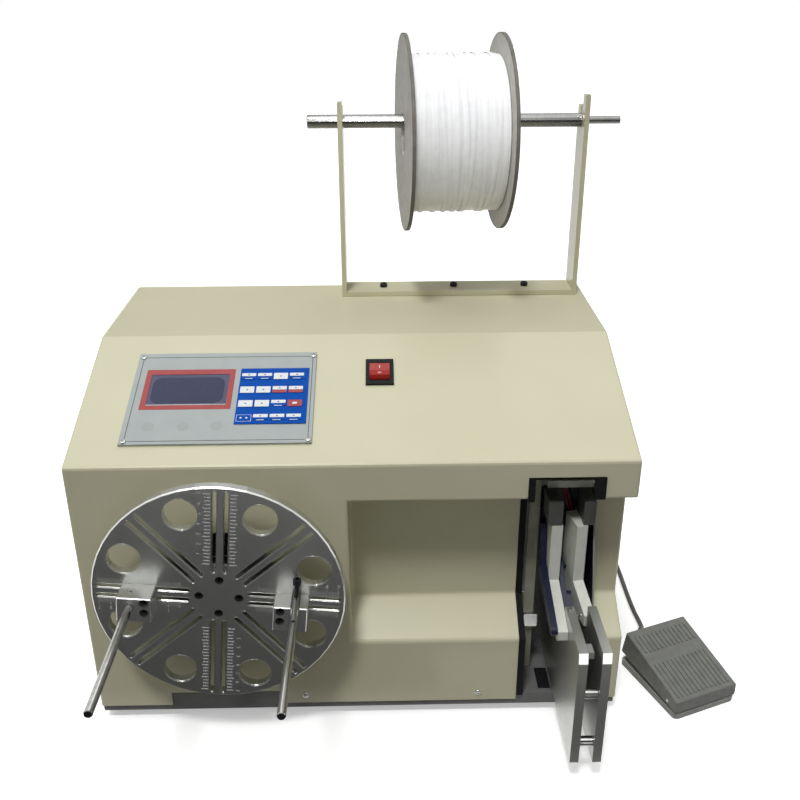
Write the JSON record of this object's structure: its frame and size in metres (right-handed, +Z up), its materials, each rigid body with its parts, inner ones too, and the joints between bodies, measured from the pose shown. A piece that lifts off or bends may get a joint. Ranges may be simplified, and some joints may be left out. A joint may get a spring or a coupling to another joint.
{
  "type": "cable winding and tying machine",
  "caption": "Bench cable winding and tying machine with a slotted winding disc on adjustable posts, a tie head, a spool of tie tape on a stand, and a foot pedal on a cable.",
  "frame": {"origin": "on the bench under the middle of the machine and its pedal, without the loose cable", "axes": "+X to the right across the front, +Y into the depth from the front face, +Z up"},
  "size_m": [0.6226, 0.6287, 0.6069],
  "materials": {
    "aluminium": "machined, fine satin",
    "black_plastic": "satin",
    "black_rubber": "matte",
    "black_steel": "blackened, satin",
    "blue_paint": "dark blue gloss",
    "board_green": "coated board",
    "bright_steel": "ground bright",
    "cable_grey": "smooth cable sheath",
    "cast_grey": "grey satin",
    "control_film": "printed film",
    "cream_paint": "semi-gloss powder coat",
    "dark_paint": "satin paint",
    "fibre_board": "pressed board",
    "keypad_blue": "satin film",
    "pedal_dark": "dark grey paint",
    "pedal_grey": "cast, grey paint",
    "red_plastic": "glossy",
    "screen": "glossy",
    "white_nylon": "smooth",
    "white_tape": "soft plastic-coated tie tape",
    "zinc_steel": "zinc plated"
  },
  "bodies": {
    "machine": {"base_plate": "dark_paint", "bearing_front": "bright_steel", "bearing_rear": "bright_steel", "cable_coil": "cable_grey", "cable_from_gland": "cable_grey", "cable_gland": "black_plastic", "cable_to_pedal": "cable_grey", "control_board": "board_green", "control_plate": "control_film", "cover": "cream_paint", "display": "screen", "drive_belt": "black_rubber", "feed_nozzle": "black_steel", "foot_front_left": "black_rubber", "foot_front_right": "black_rubber", "foot_rear_left": "black_rubber", "foot_rear_right": "black_rubber", "guard_plate_left": "aluminium", "guard_plate_right": "aluminium", "guide_left": "white_nylon", "guide_right": "white_nylon", "head_frame": "cast_grey", "keypad": "keypad_blue", "pedal_base": "pedal_dark", "pedal_spring": "bright_steel", "pedal_switch": "black_plastic", "plate_spacer_lower": "bright_steel", "plate_spacer_upper": "bright_steel", "power_inlet": "black_plastic", "power_supply": "zinc_steel", "rear_panel": "cream_paint", "rocker_housing": "black_plastic", "slot_trim": "black_rubber", "spindle_housing": "cast_grey", "spool_bracket": "cream_paint", "treadle_pin": "bright_steel", "twist_motor": "zinc_steel", "winding_motor": "black_steel"},
    "winder": {"winding_disc": "aluminium", "spindle": "bright_steel", "spindle_pulley": "aluminium"},
    "drive_wheel": {"motor_pulley": "aluminium"},
    "left_clamp": {"left_block": "aluminium", "left_post": "bright_steel"},
    "right_clamp": {"right_block": "aluminium", "right_post": "bright_steel"},
    "clamp_screw": {"right_clamp_screw": "black_steel"},
    "shaft": {"spool_shaft": "bright_steel"},
    "spool": {"spool_flange_left": "fibre_board", "spool_flange_right": "fibre_board", "wound_tape": "white_tape", "tie_winding": "white_tape"},
    "hook": {"twist_hook": "bright_steel"},
    "arm": {"tie_arm": "blue_paint", "arm_lever": "blue_paint"},
    "feed_drive": {"feed_roller_drive": "bright_steel"},
    "feed_idler": {"feed_roller_idler": "bright_steel"},
    "cutter": {"cutter_blade": "bright_steel"},
    "power_rocker": {"rocker": "red_plastic"},
    "pedal_top": {"treadle": "pedal_grey"}
  },
  "joints": [
    {"name": "disc_spin", "type": "hinge", "parent": "machine", "child": "winder", "pos_m": [-0.1813, -0.11028, 0.1653], "axis": [0, 1, 0], "continuous": true},
    {"name": "motor_pulley_spin", "type": "hinge", "parent": "machine", "child": "drive_wheel", "pos_m": [-0.0913, -0.01978, 0.0628], "axis": [0, 1, 0], "continuous": true},
    {"name": "left_clamp_slide", "type": "slide", "parent": "winder", "child": "left_clamp", "axis": [-0.9956, 0, 0.0941], "range_m": [-0.025, 0.04]},
    {"name": "right_clamp_slide", "type": "slide", "parent": "winder", "child": "right_clamp", "axis": [0.9956, 0, -0.0941], "range_m": [-0.025, 0.04]},
    {"name": "clamp_screw_turn", "type": "hinge", "parent": "right_clamp", "child": "clamp_screw", "pos_m": [-0.11291, -0.14648, 0.16838], "axis": [0.0941, 0, 0.9956], "range_deg": [0, 180]},
    {"name": "spool_lift", "type": "slide", "parent": "machine", "child": "shaft", "axis": [0, 0, 1], "range_m": [0, 0.035]},
    {"name": "spool_spin", "type": "hinge", "parent": "shaft", "child": "spool", "pos_m": [0.0402, 0.18672, 0.5081], "axis": [0.9976, 0.0698, 0], "continuous": true},
    {"name": "twist_spin", "type": "hinge", "parent": "machine", "child": "hook", "pos_m": [0.1409, -0.12228, 0.1], "axis": [0, 1, 0], "continuous": true},
    {"name": "tie_arm_swing", "type": "hinge", "parent": "machine", "child": "arm", "pos_m": [0.1274, -0.08028, 0.152], "axis": [-1, 0, 0], "range_deg": [0, 40]},
    {"name": "feed_drive_spin", "type": "hinge", "parent": "machine", "child": "feed_drive", "pos_m": [0.1343, -0.05778, 0.205], "axis": [1, 0, 0], "continuous": true},
    {"name": "feed_idler_spin", "type": "hinge", "parent": "machine", "child": "feed_idler", "pos_m": [0.1343, -0.04078, 0.205], "axis": [1, 0, 0], "continuous": true},
    {"name": "cutter_slide", "type": "slide", "parent": "machine", "child": "cutter", "axis": [0, -1, 0], "range_m": [0, 0.006]},
    {"name": "rocker_tilt", "type": "hinge", "parent": "machine", "child": "power_rocker", "pos_m": [-0.0381, -0.0007, 0.31693], "axis": [1, 0, 0], "range_deg": [0, 20]},
    {"name": "treadle_tilt", "type": "hinge", "parent": "machine", "child": "pedal_top", "pos_m": [0.27297, -0.09874, 0.0125], "axis": [-0.9311, -0.3649, 0], "range_deg": [0, 5.9], "stiffness_Nm_per_rad": 2, "springref_deg": -11.46, "deforming": ["pedal_spring"]}
  ],
  "couplings": [
    {"joint": "motor_pulley_spin", "follows": "disc_spin", "ratio": 2.3333},
    {"joint": "feed_idler_spin", "follows": "feed_drive_spin", "ratio": -1}
  ]
}
